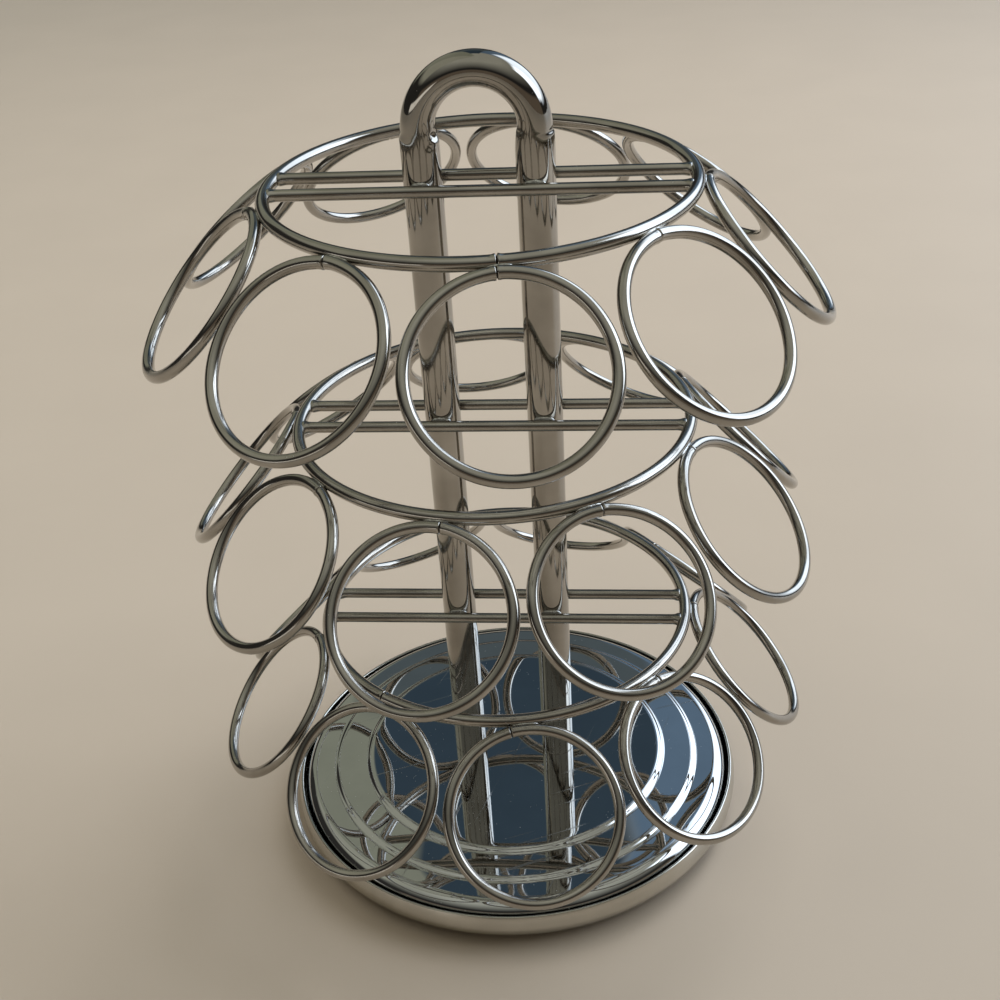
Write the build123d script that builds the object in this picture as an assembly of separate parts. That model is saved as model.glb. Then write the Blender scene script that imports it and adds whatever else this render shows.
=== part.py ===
from build123d import *
import math
import os

# Spinning coffee pod carousel: three tiers of nine wire rings welded to round hoops, carried by one
# inverted-U tube whose bend is the handle, on a stepped sheet-metal base that turns on a ball race.
# Millimetres. +Z is up, the origin is on the spin axis at floor level, and +X runs along the cross wires.

# Wire work
POD_RING_BORE = 48.0        # a single-serve pod's body passes and its rim stays on top
RING_WIRE = 3.5             # wire diameters
HOOP_WIRE = 3.9
CROSS_WIRE = 3.4
RINGS_PER_TIER = 9
RING_LEAN = 43.5            # degrees that each ring leans outward from the vertical
HOOP_RADIUS = 60.0          # to the wire's centre
LOWEST_HOOP_HEIGHT = 79.0
TIER_PITCH = 72.2
WELD_OUT = 2.95             # a ring's top wire sits this far outside the hoop's centre
WELD_DROP = 1.45            # and this far below it
WIRE_BITE = 0.15            # depth to which a welded cross wire sinks into its neighbour

# Bent tube
TUBE_RADIUS = 5.5
TUBE_WALL = 1.2
POST_SPACING = 31.6
ARCH_START = 237.8          # height at which the bend begins
NECK_LENGTH = 3.0           # the tube flattens over this length below the bend
ARCH_SQUEEZE = 0.8          # loss of half-width in the plane of the bend

# Rotating cover, a pressed sheet with two rounded steps and a rolled shoulder
COVER_TOP = 17.2
COVER_SHEET = 0.8
COVER_RADIUS = 76.5
STEP_WIDTH = 4.0
INNER_STEP_RADIUS = 53.2
INNER_STEP_DROP = 1.15
INNER_LEDGE_FALL = 0.38     # each ledge slopes outward, so the cover is slightly domed
OUTER_STEP_RADIUS = 65.0
OUTER_STEP_DROP = 1.0
OUTER_LEDGE_FALL = 0.27
SHOULDER_ROUND = 4.0
SKIRT_BOTTOM = 8.0

# Stationary pan under it
PAN_BOTTOM = 2.0
PAN_SHEET = 1.0
PAN_RADIUS = 79.5
PAN_HEEL_ROUND = 5.2
PAN_LIP_ROUND = 10.0
PAN_LIP_ANGLE = 31.0
PAN_LIP_EASE = 0.45         # the rim's cut edge is rounded smooth
FOOT_RADIUS = 6.0
FOOT_CIRCLE = 62.0
FOOT_COUNT = 4

# Ball race between pan and cover
BALL_RADIUS = 3.0
BALL_COUNT = 12
BALL_CIRCLE = 40.0
BALL_HEIGHT = 8.3
BALL_PLAY = 0.02            # radial clearance between ball and groove
POCKET_PLAY = 0.2
RACE_GAP = 4.0              # between the faces of the two races
RACE_INNER = 34.0
RACE_OUTER = 48.0
RACE_WEB = 1.5
CAGE_INNER = 35.2
CAGE_OUTER = 44.8
CAGE_THICKNESS = 1.6
RIVET_RADIUS = 1.25
RIVET_HEAD_RADIUS = 2.2
RIVET_HEAD_HEIGHT = 0.7
RIVET_CIRCLE = 45.5
RIVET_COUNT = 4
RIVET_PLAY = 0.03

# Turntable plate, pivot and post screws
PLATE_THICKNESS = 2.0
PLATE_RADIUS = 49.0
PLATE_WINDOW = 10.0         # radius of the plate's centre hole, where the pivot nut sits
PIVOT_RADIUS = 3.0
PIVOT_PLAY = 0.05           # running clearance in the race's web
PIVOT_HEAD_RADIUS = 6.5
PIVOT_HEAD_HEIGHT = 1.5
PIVOT_WASHER_RADIUS = 7.5
PIVOT_WASHER_HEIGHT = 0.8
PIVOT_END_PLAY = 0.1
NUT_ACROSS_FLATS = 10.0
NUT_HEIGHT = 3.0
SCREW_RADIUS = 2.5
SCREW_HOLE_RADIUS = 2.75
SCREW_HEAD_RADIUS = 4.5
SCREW_HEAD_HEIGHT = 2.9
SCREW_RECESS_WIDTH = 1.1
SCREW_RECESS_LENGTH = 5.0
SCREW_RECESS_DEPTH = 1.4
SCREW_REACH = 12.0          # length of thread inside the tube's end plug
WASHER_HEIGHT = 1.0
WASHER_RADIUS = 4.6
PLUG_HEIGHT = 14.0
PLUG_PLAY = 0.05
ACCESS_RADIUS = 6.0         # holes that let a screwdriver reach the post screws

# Worked out from the values above
RING_RADIUS = (POD_RING_BORE + RING_WIRE) / 2
POST_X = POST_SPACING / 2
CROSS_Y = TUBE_RADIUS + CROSS_WIRE / 2 - WIRE_BITE
SHEET_UNDERSIDE = COVER_TOP - COVER_SHEET
PLATE_BOTTOM = SHEET_UNDERSIDE - PLATE_THICKNESS
PAN_FLOOR = PAN_BOTTOM + PAN_SHEET
LOWER_RACE_TOP = BALL_HEIGHT - RACE_GAP / 2
UPPER_RACE_BOTTOM = BALL_HEIGHT + RACE_GAP / 2
WEB_TOP = UPPER_RACE_BOTTOM + RACE_WEB
PIVOT_WASHER_BOTTOM = WEB_TOP + PIVOT_END_PLAY
PIVOT_NUT_BOTTOM = PIVOT_WASHER_BOTTOM + PIVOT_WASHER_HEIGHT
HALF_TURN = 180.0
RING_STEP = 360.0 / RINGS_PER_TIER

TIERS = (
    # name, hoop height, direction of the first ring in degrees from +X
    ("lower", LOWEST_HOOP_HEIGHT, 0.0),
    ("middle", LOWEST_HOOP_HEIGHT + TIER_PITCH, HALF_TURN),
    ("upper", LOWEST_HOOP_HEIGHT + 2 * TIER_PITCH, 0.0),
)

UPRIGHT = (Align.CENTER, Align.CENTER, Align.MIN)


def disc(radius, bottom, height):
    """A cylinder on the spin axis."""
    return Pos(0, 0, bottom) * Cylinder(radius, height, align=UPRIGHT)


def washer_disc(outer, inner, bottom, height):
    """A flat ring on the spin axis."""
    return disc(outer, bottom, height) - disc(inner, bottom, height)


def around(count, circle, start=0.0):
    """Locations evenly spaced on a circle about the spin axis."""
    for index in range(count):
        angle = math.radians(start + 360.0 * index / count)
        yield Pos(circle * math.cos(angle), circle * math.sin(angle), 0)


def both_posts():
    """Locations of the two post axes."""
    return Pos(-POST_X, 0, 0), Pos(POST_X, 0, 0)


def polar(centre, radius, degrees):
    """A point in the section plane, given from a centre."""
    angle = math.radians(degrees)
    return (centre[0] + radius * math.cos(angle), centre[1] + radius * math.sin(angle))


def section_arc(centre, radius, start, end):
    """An arc in the section plane, between two directions in degrees."""
    middle = (start + end) / 2
    return ThreePointArc(
        polar(centre, radius, start),
        polar(centre, radius, middle),
        polar(centre, radius, end),
    )


def spun(edges):
    """The solid that a closed outline makes when it turns about the spin axis."""
    outline = make_face(Plane.XZ * Curve(edges))
    return revolve(outline, axis=Axis.Z)


def joined(surface):
    """The surface's edges with a straight line across each gap between neighbours."""
    edges = []
    for edge in surface:
        if edges and (edges[-1] @ 1 - edge @ 0).length > 1e-6:
            edges.append(Line(edges[-1] @ 1, edge @ 0))
        edges.append(edge)
    return edges


def sheet_outline(outer, inner, axis_radius=0.0):
    """A closed outline between two surfaces that both start at the axis side."""
    top = joined(outer)
    under = joined(inner)
    rim = Line(top[-1] @ 1, under[-1] @ 1)
    middle = Line(top[0] @ 0, under[0] @ 0)
    return top + [rim] + under + [middle]


# Wire work

def hoop(height):
    """One round hoop of a tier."""
    return Pos(0, 0, height) * Torus(HOOP_RADIUS, HOOP_WIRE / 2)


def cross_wire(height, side):
    """A straight wire along X on one side of the posts, its ends butted on the hoop's inside."""
    inside = HOOP_RADIUS - HOOP_WIRE / 2 + WIRE_BITE
    reach = math.sqrt(inside**2 - CROSS_Y**2)
    wire = Cylinder(CROSS_WIRE / 2, 2 * reach, rotation=(0, 90, 0))
    return Pos(0, side * CROSS_Y, height) * wire


def pod_ring(hoop_height, direction):
    """One ring that leans outward and down from its weld on the outside of the hoop."""
    angle = math.radians(direction)
    lean = math.radians(RING_LEAN)
    outward = Vector(math.cos(angle), math.sin(angle), 0)
    along = Vector(-math.sin(angle), math.cos(angle), 0)
    up = Vector(0, 0, 1)
    top = outward * (HOOP_RADIUS + WELD_OUT) + up * (hoop_height - WELD_DROP)
    downhill = outward * math.sin(lean) - up * math.cos(lean)
    facing = outward * math.cos(lean) + up * math.sin(lean)
    seat = Plane(origin=top + downhill * RING_RADIUS, x_dir=along, z_dir=facing)
    return seat * Torus(RING_RADIUS, RING_WIRE / 2)


# Bent tube

def tube_core(radius, bottom):
    """A solid bent bar with the tube's path: two posts, two short necks and the arch."""
    narrow = radius - ARCH_SQUEEZE
    post_top = ARCH_START - NECK_LENGTH
    arch_section = Pos(POST_X, 0, ARCH_START) * Ellipse(narrow, radius)
    arch_axis = Axis((0, 0, ARCH_START), (0, -1, 0))
    core = revolve(arch_section, axis=arch_axis, revolution_arc=HALF_TURN)
    for place in both_posts():
        round_end = place * Pos(0, 0, post_top) * Circle(radius)
        oval_end = place * Pos(0, 0, ARCH_START) * Ellipse(narrow, radius)
        core += loft([round_end, oval_end])
        core += place * Pos(0, 0, bottom) * Cylinder(radius, post_top - bottom, align=UPRIGHT)
    return core


def handle_tube():
    """The inverted-U tube, open at both lower ends."""
    bore_radius = TUBE_RADIUS - TUBE_WALL
    return tube_core(TUBE_RADIUS, COVER_TOP) - tube_core(bore_radius, COVER_TOP - 1.0)


def post_end_plugs():
    """Threaded plugs pressed into the tube's two lower ends."""
    radius = TUBE_RADIUS - TUBE_WALL - PLUG_PLAY
    plug = Pos(0, 0, COVER_TOP) * Cylinder(radius, PLUG_HEIGHT, align=UPRIGHT)
    plug -= Pos(0, 0, COVER_TOP) * Cylinder(SCREW_RADIUS + PLUG_PLAY, PLUG_HEIGHT, align=UPRIGHT)
    return [place * plug for place in both_posts()]


# Base cover and pan

def step_surface(radius, top, drop, depth):
    """The two arcs of a rounded step, at a depth below the sheet's upper face."""
    bend = (STEP_WIDTH**2 + drop**2) / (4 * drop)
    turn = math.degrees(math.asin(STEP_WIDTH / (2 * bend)))
    crest = (radius - STEP_WIDTH / 2, top - bend)
    hollow = (radius + STEP_WIDTH / 2, top - drop + bend)
    return [
        section_arc(crest, bend - depth, 90, 90 - turn),
        section_arc(hollow, bend + depth, 270 - turn, 270),
    ]


def cover_surface(depth):
    """The cover's section from the axis to the foot of its skirt."""
    before_outer = COVER_TOP - INNER_STEP_DROP - INNER_LEDGE_FALL
    before_shoulder = before_outer - OUTER_STEP_DROP - OUTER_LEDGE_FALL
    shoulder = (COVER_RADIUS - SHOULDER_ROUND, before_shoulder - SHOULDER_ROUND)
    inner_step = step_surface(INNER_STEP_RADIUS, COVER_TOP, INNER_STEP_DROP, depth)
    outer_step = step_surface(OUTER_STEP_RADIUS, before_outer, OUTER_STEP_DROP, depth)
    start = (0, COVER_TOP - depth)
    skirt_foot = (COVER_RADIUS - depth, SKIRT_BOTTOM)
    corner = section_arc(shoulder, SHOULDER_ROUND - depth, 90, 0)
    first = Line(start, inner_step[0] @ 0)
    last = Line(corner @ 1, skirt_foot)
    return [first, *inner_step, *outer_step, corner, last]


def base_cover():
    """The pressed cover that turns with the tower, with a screw hole under each post."""
    cover = spun(sheet_outline(cover_surface(0), cover_surface(COVER_SHEET)))
    for place in both_posts():
        cover -= place * Pos(0, 0, SHEET_UNDERSIDE - 1) * Cylinder(SCREW_HOLE_RADIUS, 3, align=UPRIGHT)
    return cover


def pan_surface(depth):
    """The pan's section from the axis, round the heel and up to the lip."""
    heel = (PAN_RADIUS - PAN_HEEL_ROUND, PAN_BOTTOM + PAN_HEEL_ROUND)
    belly = (PAN_RADIUS - PAN_LIP_ROUND, PAN_BOTTOM + PAN_HEEL_ROUND)
    heel_arc = section_arc(heel, PAN_HEEL_ROUND - depth, -90, 0)
    lip_arc = section_arc(belly, PAN_LIP_ROUND - depth, 0, PAN_LIP_ANGLE)
    return [Line((0, PAN_BOTTOM + depth), heel_arc @ 0), heel_arc, lip_arc]


def base_pan():
    """The stationary pan with its rolled rim, pivot hole, rivet holes and screwdriver holes."""
    pan = spun(sheet_outline(pan_surface(0), pan_surface(PAN_SHEET)))
    pan = fillet(pan.edges().filter_by(GeomType.CIRCLE).sort_by(Axis.Z)[-2:], PAN_LIP_EASE)
    pan -= disc(PIVOT_RADIUS + PIVOT_PLAY, PAN_BOTTOM - 1, 3)
    for place in both_posts():
        pan -= place * disc(ACCESS_RADIUS, PAN_BOTTOM - 1, 3)
    for place in around(RIVET_COUNT, RIVET_CIRCLE):
        pan -= place * disc(RIVET_RADIUS + RIVET_PLAY, PAN_BOTTOM - 1, 3)
    return pan


def rubber_feet():
    """Round pads stuck under the pan."""
    foot = disc(FOOT_RADIUS, 0, PAN_BOTTOM)
    foot = chamfer(foot.edges().sort_by(Axis.Z)[:1], 0.5)
    return [place * foot for place in around(FOOT_COUNT, FOOT_CIRCLE, start=45)]


# Ball race

def ball_groove():
    """The ring-shaped space that the balls run in."""
    return Pos(0, 0, BALL_HEIGHT) * Torus(BALL_CIRCLE, BALL_RADIUS + BALL_PLAY)


def lower_race():
    """The race on the pan, with a groove in its upper face."""
    race = washer_disc(RACE_OUTER, RACE_INNER, PAN_FLOOR, LOWER_RACE_TOP - PAN_FLOOR)
    race -= ball_groove()
    for place in around(RIVET_COUNT, RIVET_CIRCLE):
        race -= place * disc(RIVET_RADIUS + RIVET_PLAY, PAN_FLOOR, LOWER_RACE_TOP - PAN_FLOOR)
    return race


def upper_race():
    """The race under the turntable plate, with a web that turns on the pivot."""
    rim = washer_disc(RACE_OUTER, RACE_INNER, UPPER_RACE_BOTTOM, PLATE_BOTTOM - UPPER_RACE_BOTTOM)
    web = disc(RACE_INNER, UPPER_RACE_BOTTOM, RACE_WEB)
    race = rim + web
    race -= ball_groove()
    race -= disc(PIVOT_RADIUS + PIVOT_PLAY, UPPER_RACE_BOTTOM, RACE_WEB)
    for place in both_posts():
        race -= place * disc(ACCESS_RADIUS, UPPER_RACE_BOTTOM, RACE_WEB)
    for place in around(RIVET_COUNT, RIVET_CIRCLE):
        race -= place * disc(RIVET_RADIUS + RIVET_PLAY, UPPER_RACE_BOTTOM, PLATE_BOTTOM)
    return race


def bearing_balls():
    """The loose balls."""
    ball = Pos(0, 0, BALL_HEIGHT) * Sphere(BALL_RADIUS)
    return [place * ball for place in around(BALL_COUNT, BALL_CIRCLE)]


def bearing_cage():
    """The flat ring that keeps the balls apart."""
    bottom = BALL_HEIGHT - CAGE_THICKNESS / 2
    cage = washer_disc(CAGE_OUTER, CAGE_INNER, bottom, CAGE_THICKNESS)
    for place in around(BALL_COUNT, BALL_CIRCLE):
        cage -= place * disc(BALL_RADIUS + POCKET_PLAY, bottom, CAGE_THICKNESS)
    return cage


def rivet(bottom, top):
    """A shank between two heights with a head at each end."""
    shank = disc(RIVET_RADIUS, bottom, top - bottom)
    lower_head = disc(RIVET_HEAD_RADIUS, bottom - RIVET_HEAD_HEIGHT, RIVET_HEAD_HEIGHT)
    return shank + lower_head


def lower_race_rivets():
    """Rivets that hold the lower race on the pan, headed on both faces."""
    body = rivet(PAN_BOTTOM, LOWER_RACE_TOP)
    body += disc(RIVET_HEAD_RADIUS, LOWER_RACE_TOP, RIVET_HEAD_HEIGHT)
    return [place * body for place in around(RIVET_COUNT, RIVET_CIRCLE)]


def upper_race_rivets():
    """Rivets that hold the upper race on the plate, set flush under the cover."""
    body = rivet(UPPER_RACE_BOTTOM, SHEET_UNDERSIDE)
    return [place * body for place in around(RIVET_COUNT, RIVET_CIRCLE)]


# Turntable plate, pivot and screws

def turntable_plate():
    """The stiff disc that the cover, posts and upper race are all fastened to."""
    plate = washer_disc(PLATE_RADIUS, PLATE_WINDOW, PLATE_BOTTOM, PLATE_THICKNESS)
    for place in both_posts():
        plate -= place * disc(SCREW_HOLE_RADIUS, PLATE_BOTTOM, PLATE_THICKNESS)
    for place in around(RIVET_COUNT, RIVET_CIRCLE):
        plate -= place * disc(RIVET_RADIUS + RIVET_PLAY, PLATE_BOTTOM, PLATE_THICKNESS)
    return plate


def pivot_bolt():
    """The bolt up through the middle of the pan that the tower turns on."""
    shank_top = PIVOT_NUT_BOTTOM + NUT_HEIGHT + 0.3
    shank = disc(PIVOT_RADIUS, PAN_BOTTOM, shank_top - PAN_BOTTOM)
    head = disc(PIVOT_HEAD_RADIUS, PAN_BOTTOM - PIVOT_HEAD_HEIGHT, PIVOT_HEAD_HEIGHT)
    return shank + head


def pivot_washer():
    """The washer that keeps the race's web down on the balls."""
    bore = PIVOT_RADIUS + PIVOT_PLAY
    return washer_disc(PIVOT_WASHER_RADIUS, bore, PIVOT_WASHER_BOTTOM, PIVOT_WASHER_HEIGHT)


def pivot_nut():
    """The thin hexagon nut on the pivot bolt."""
    outline = RegularPolygon(NUT_ACROSS_FLATS / 2, 6, major_radius=False)
    nut = Pos(0, 0, PIVOT_NUT_BOTTOM) * extrude(outline, NUT_HEIGHT)
    return nut - disc(PIVOT_RADIUS + PLUG_PLAY, PIVOT_NUT_BOTTOM, NUT_HEIGHT)


def post_lock_washers():
    """A washer under each post screw's head."""
    bottom = PLATE_BOTTOM - WASHER_HEIGHT
    washer = washer_disc(WASHER_RADIUS, SCREW_HOLE_RADIUS, bottom, WASHER_HEIGHT)
    return [place * washer for place in both_posts()]


def post_screws():
    """The two cross-recessed screws that hold the tube on the plate."""
    seat = PLATE_BOTTOM - WASHER_HEIGHT
    head_bottom = seat - SCREW_HEAD_HEIGHT
    screw = disc(SCREW_RADIUS, seat, COVER_TOP + SCREW_REACH - seat)
    screw += disc(SCREW_HEAD_RADIUS, head_bottom, SCREW_HEAD_HEIGHT)
    for turn in (0, 90):
        slot = Box(SCREW_RECESS_LENGTH, SCREW_RECESS_WIDTH, SCREW_RECESS_DEPTH, align=UPRIGHT)
        screw -= Pos(0, 0, head_bottom) * Rot(0, 0, turn) * slot
    return [place * screw for place in both_posts()]


def all_nodes():
    """Every named piece, as one shape or a list of separate shapes."""
    nodes = {
        "handle_tube": handle_tube(),
        "post_end_plugs": post_end_plugs(),
        "post_screws": post_screws(),
        "post_lock_washers": post_lock_washers(),
        "base_cover": base_cover(),
        "turntable_plate": turntable_plate(),
        "upper_race": upper_race(),
        "upper_race_rivets": upper_race_rivets(),
        "bearing_balls": bearing_balls(),
        "bearing_cage": bearing_cage(),
        "lower_race": lower_race(),
        "lower_race_rivets": lower_race_rivets(),
        "pivot_bolt": pivot_bolt(),
        "pivot_washer": pivot_washer(),
        "pivot_nut": pivot_nut(),
        "base_pan": base_pan(),
        "rubber_feet": rubber_feet(),
    }
    for tier, height, first in TIERS:
        nodes[f"{tier}_hoop"] = hoop(height)
        nodes[f"{tier}_front_cross_wire"] = cross_wire(height, -1)
        nodes[f"{tier}_rear_cross_wire"] = cross_wire(height, 1)
        for index in range(RINGS_PER_TIER):
            nodes[f"{tier}_pod_ring_{index + 1}"] = pod_ring(height, first + index * RING_STEP)
    return nodes


def write_parts():
    """Write each node to its own file."""
    os.makedirs("parts", exist_ok=True)
    for name, shape in all_nodes().items():
        solid = Compound(children=shape) if isinstance(shape, list) else shape
        export_step(solid, f"parts/{name}.step")


write_parts()
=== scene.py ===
"""Looks of the coffee pod carousel: chromed wire tiers on a bent tube, on a turning mirror base.

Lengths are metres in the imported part's frame: Z is the spin axis, Z = 0 the floor, -Y the front.
"""

import logging
import math
import random
from dataclasses import dataclass, field
from enum import Enum
from typing import Any, Iterable, Iterator, Mapping, Sequence, Union

import bmesh
import bpy
from mathutils import Matrix, Vector


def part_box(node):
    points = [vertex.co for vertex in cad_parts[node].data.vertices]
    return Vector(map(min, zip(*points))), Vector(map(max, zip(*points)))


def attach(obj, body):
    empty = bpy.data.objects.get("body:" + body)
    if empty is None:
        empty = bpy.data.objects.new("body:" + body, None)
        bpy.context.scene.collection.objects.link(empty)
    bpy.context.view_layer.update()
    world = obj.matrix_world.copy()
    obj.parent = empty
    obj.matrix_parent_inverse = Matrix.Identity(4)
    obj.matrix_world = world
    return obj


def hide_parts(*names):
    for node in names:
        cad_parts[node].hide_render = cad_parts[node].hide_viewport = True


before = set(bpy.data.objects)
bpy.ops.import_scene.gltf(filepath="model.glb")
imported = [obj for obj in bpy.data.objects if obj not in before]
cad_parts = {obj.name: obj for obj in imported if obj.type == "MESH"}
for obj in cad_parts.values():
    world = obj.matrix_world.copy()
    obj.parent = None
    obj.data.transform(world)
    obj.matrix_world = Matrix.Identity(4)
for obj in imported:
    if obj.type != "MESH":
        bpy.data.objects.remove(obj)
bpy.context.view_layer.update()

MM = 0.001
SIDEWAYS = Vector((1.0, 0.0, 0.0))
INTO_DEPTH = Vector((0.0, 1.0, 0.0))
UP = Vector((0.0, 0.0, 1.0))
HALF_TURN = 180.0
Colour = tuple[float, float, float]
Points = list[Vector]
Section = list[tuple[float, float]]
Corner = bmesh.types.BMVert
log = logging.getLogger("pod_carousel")


class Body(Enum):
    """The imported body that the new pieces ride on."""

    CAROUSEL = "carousel"


class Slot(Enum):
    """The record's material slots, given with each new piece."""

    WIRE = "chrome_wire"
    TUBE = "chrome_tube"
    COVER = "chrome_cover"


# Shader building

THINNING_SCALE = 0.23  # patches that hold specks, as a share of the number of specks' cells
THINNING_SOFT = 0.06  # softness of those patches' edges
SPECK_SOFT = 0.6  # softness of a speck's edge, as a share of its size
MIX_SHARE, MIX_FIRST, MIX_SECOND, MIX_RESULT = 0, 6, 7, 2  # a Mix node's colour sockets


class Signal:
    """A value that varies over a surface. Arithmetic on it adds Math nodes."""

    def __init__(self, net: "Net", socket: bpy.types.NodeSocket) -> None:
        """Wrap a socket.

        Args:
            net: the node tree that the socket belongs to.
            socket: the output that carries the value.
        """
        self.net = net
        self.socket = socket

    def _math(self, operation: str, *operands: "Operand") -> "Signal":
        """One Math node.

        Args:
            operation: Blender's name for the operation.
            operands: the node's inputs in order.

        Returns:
            The node's result.
        """
        return self.net.node("ShaderNodeMath", {"operation": operation}, dict(enumerate(operands)))

    def __add__(self, other: "Operand") -> "Signal":
        """self + other."""
        return self._math("ADD", self, other)

    def __radd__(self, other: "Operand") -> "Signal":
        """other + self."""
        return self._math("ADD", other, self)

    def __sub__(self, other: "Operand") -> "Signal":
        """self - other."""
        return self._math("SUBTRACT", self, other)

    def __rsub__(self, other: "Operand") -> "Signal":
        """other - self."""
        return self._math("SUBTRACT", other, self)

    def __mul__(self, other: "Operand") -> "Signal":
        """self * other."""
        return self._math("MULTIPLY", self, other)

    def __rmul__(self, other: "Operand") -> "Signal":
        """other * self."""
        return self._math("MULTIPLY", other, self)

    def __abs__(self) -> "Signal":
        """The size of self without its sign."""
        return self._math("ABSOLUTE", self)

    def clamped(self) -> "Signal":
        """self held between 0 and 1."""
        return self._math("MINIMUM", self._math("MAXIMUM", self, 0.0), 1.0)

    def above(self, edge: float, soft: float) -> "Signal":
        """A mask that rises from 0 at edge to 1 at edge + soft."""
        return ((self - edge) * (1.0 / soft)).clamped()

    def below(self, edge: float, soft: float) -> "Signal":
        """A mask that falls from 1 at edge - soft to 0 at edge."""
        return ((edge - self) * (1.0 / soft)).clamped()


Operand = Union[Signal, float]
Socket = Union[Signal, float, Sequence[float]]


class Net:
    """A node tree of a material or of the surroundings."""

    def __init__(self, tree: bpy.types.NodeTree) -> None:
        """Start from an empty tree."""
        self.tree = tree
        tree.nodes.clear()

    def node(
        self,
        kind: str,
        settings: Mapping[str, Any],
        sockets: Mapping[Union[int, str], Socket],
        output: Union[int, str] = 0,
    ) -> Signal:
        """Add one node.

        Args:
            kind: the node's type.
            settings: its properties, set before its sockets.
            sockets: values or links of its inputs, by name or index.
            output: the output to return.

        Returns:
            That output, or the input of a node that ends the tree.
        """
        made = self.tree.nodes.new(kind)
        for name, value in settings.items():
            setattr(made, name, value)
        for key, value in sockets.items():
            if isinstance(value, Signal):
                self.tree.links.new(value.socket, made.inputs[key])
            else:
                made.inputs[key].default_value = value
        ends = made.outputs if len(made.outputs) else made.inputs
        return Signal(self, ends[output])

    def place(self) -> Signal:
        """The point's place in the part's frame."""
        return self.node("ShaderNodeTexCoord", {}, {}, "Object")

    def stretched(self, where: Signal, scale: Colour, turn: float = 0.0) -> Signal:
        """Coordinates on which a pattern comes out stretched and turned.

        Args:
            where: the coordinates.
            scale: how many times longer the pattern is along each axis.
            turn: degrees about Z.

        Returns:
            The new coordinates.
        """
        sockets = {"Vector": where, "Rotation": (0.0, 0.0, math.radians(turn)), "Scale": scale}
        return self.node("ShaderNodeMapping", {"vector_type": "TEXTURE"}, sockets)

    def noise(self, where: Signal, scale: float, detail: float, rough: float = 0.5) -> Signal:
        """Soft random variation.

        Args:
            where: the coordinates.
            scale: features per metre.
            detail: octaves of finer variation.
            rough: strength of the finer octaves.

        Returns:
            Values around 0.5.
        """
        sockets = {"Vector": where, "Scale": scale, "Detail": detail, "Roughness": rough}
        return self.node("ShaderNodeTexNoise", {}, sockets, "Fac")

    def specks(self, where: Signal, scale: float, size: float) -> Signal:
        """Scattered round specks.

        Args:
            where: the coordinates.
            scale: cells per metre.
            size: a speck's radius as a share of a cell.

        Returns:
            A mask that is 1 in the middle of each speck.
        """
        cells = {"Vector": where, "Scale": scale}
        distance = self.node("ShaderNodeTexVoronoi", {}, cells, "Distance")
        thinning = self.noise(where, scale * THINNING_SCALE, detail=1.0).above(0.5, THINNING_SOFT)
        return distance.below(size, size * SPECK_SOFT) * thinning

    def blend(self, share: Socket, first: Socket, second: Socket) -> Signal:
        """Mix two colours.

        Args:
            share: how much of the second shows.
            first: the colour at 0.
            second: the colour at 1.

        Returns:
            The mixed colour.
        """
        colours = [(*c, 1.0) if isinstance(c, tuple) else c for c in (first, second)]
        sockets = {MIX_SHARE: share, MIX_FIRST: colours[0], MIX_SECOND: colours[1]}
        return self.node("ShaderNodeMix", {"data_type": "RGBA"}, sockets, MIX_RESULT)

    def bump(self, height: Signal, depth: float) -> Signal:
        """Relief from a height that runs from 0 to 1.

        Args:
            height: the height.
            depth: metres between 0 and 1.

        Returns:
            The bent normal.
        """
        sockets = {"Strength": 1.0, "Distance": depth, "Height": height}
        return self.node("ShaderNodeBump", {}, sockets)

    def surface(self, sockets: Mapping[str, Socket]) -> None:
        """End a material with its shader and output.

        Args:
            sockets: the shader's values and links.
        """
        shader = self.node("ShaderNodeBsdfPrincipled", {}, sockets)
        self.node("ShaderNodeOutputMaterial", {}, {"Surface": shader})


# Finishes


@dataclass(frozen=True)
class Finish:
    """A surface treatment that makes one material."""

    name: str

    def shade(self, net: Net) -> None:
        """Lay the finish's nodes."""
        raise NotImplementedError

    def material(self) -> bpy.types.Material:
        """The finish's material, made the first time it is asked for."""
        found = bpy.data.materials.get(self.name)
        if found is None:
            found = bpy.data.materials.new(self.name)
            found.use_nodes = True
            self.shade(Net(found.node_tree))
        return found


@dataclass(frozen=True)
class ScratchSet:
    """Hairline scratches that run one way."""

    stretch: Colour
    turn: float
    per_metre: float
    edge: float
    soft: float = 0.05

    def mask(self, net: Net, where: Signal) -> Signal:
        """Where the lines are.

        Args:
            net: the tree.
            where: the coordinates.

        Returns:
            A mask of the lines.
        """
        lines = net.noise(net.stretched(where, self.stretch, self.turn), self.per_metre, detail=1.0)
        return lines.above(self.edge, self.soft)


SCRATCH_SETS = (
    ScratchSet((40.0, 1.0, 40.0), 24.0, 900.0, 0.70),
    ScratchSet((1.0, 34.0, 34.0), -17.0, 760.0, 0.71),
)


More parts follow.
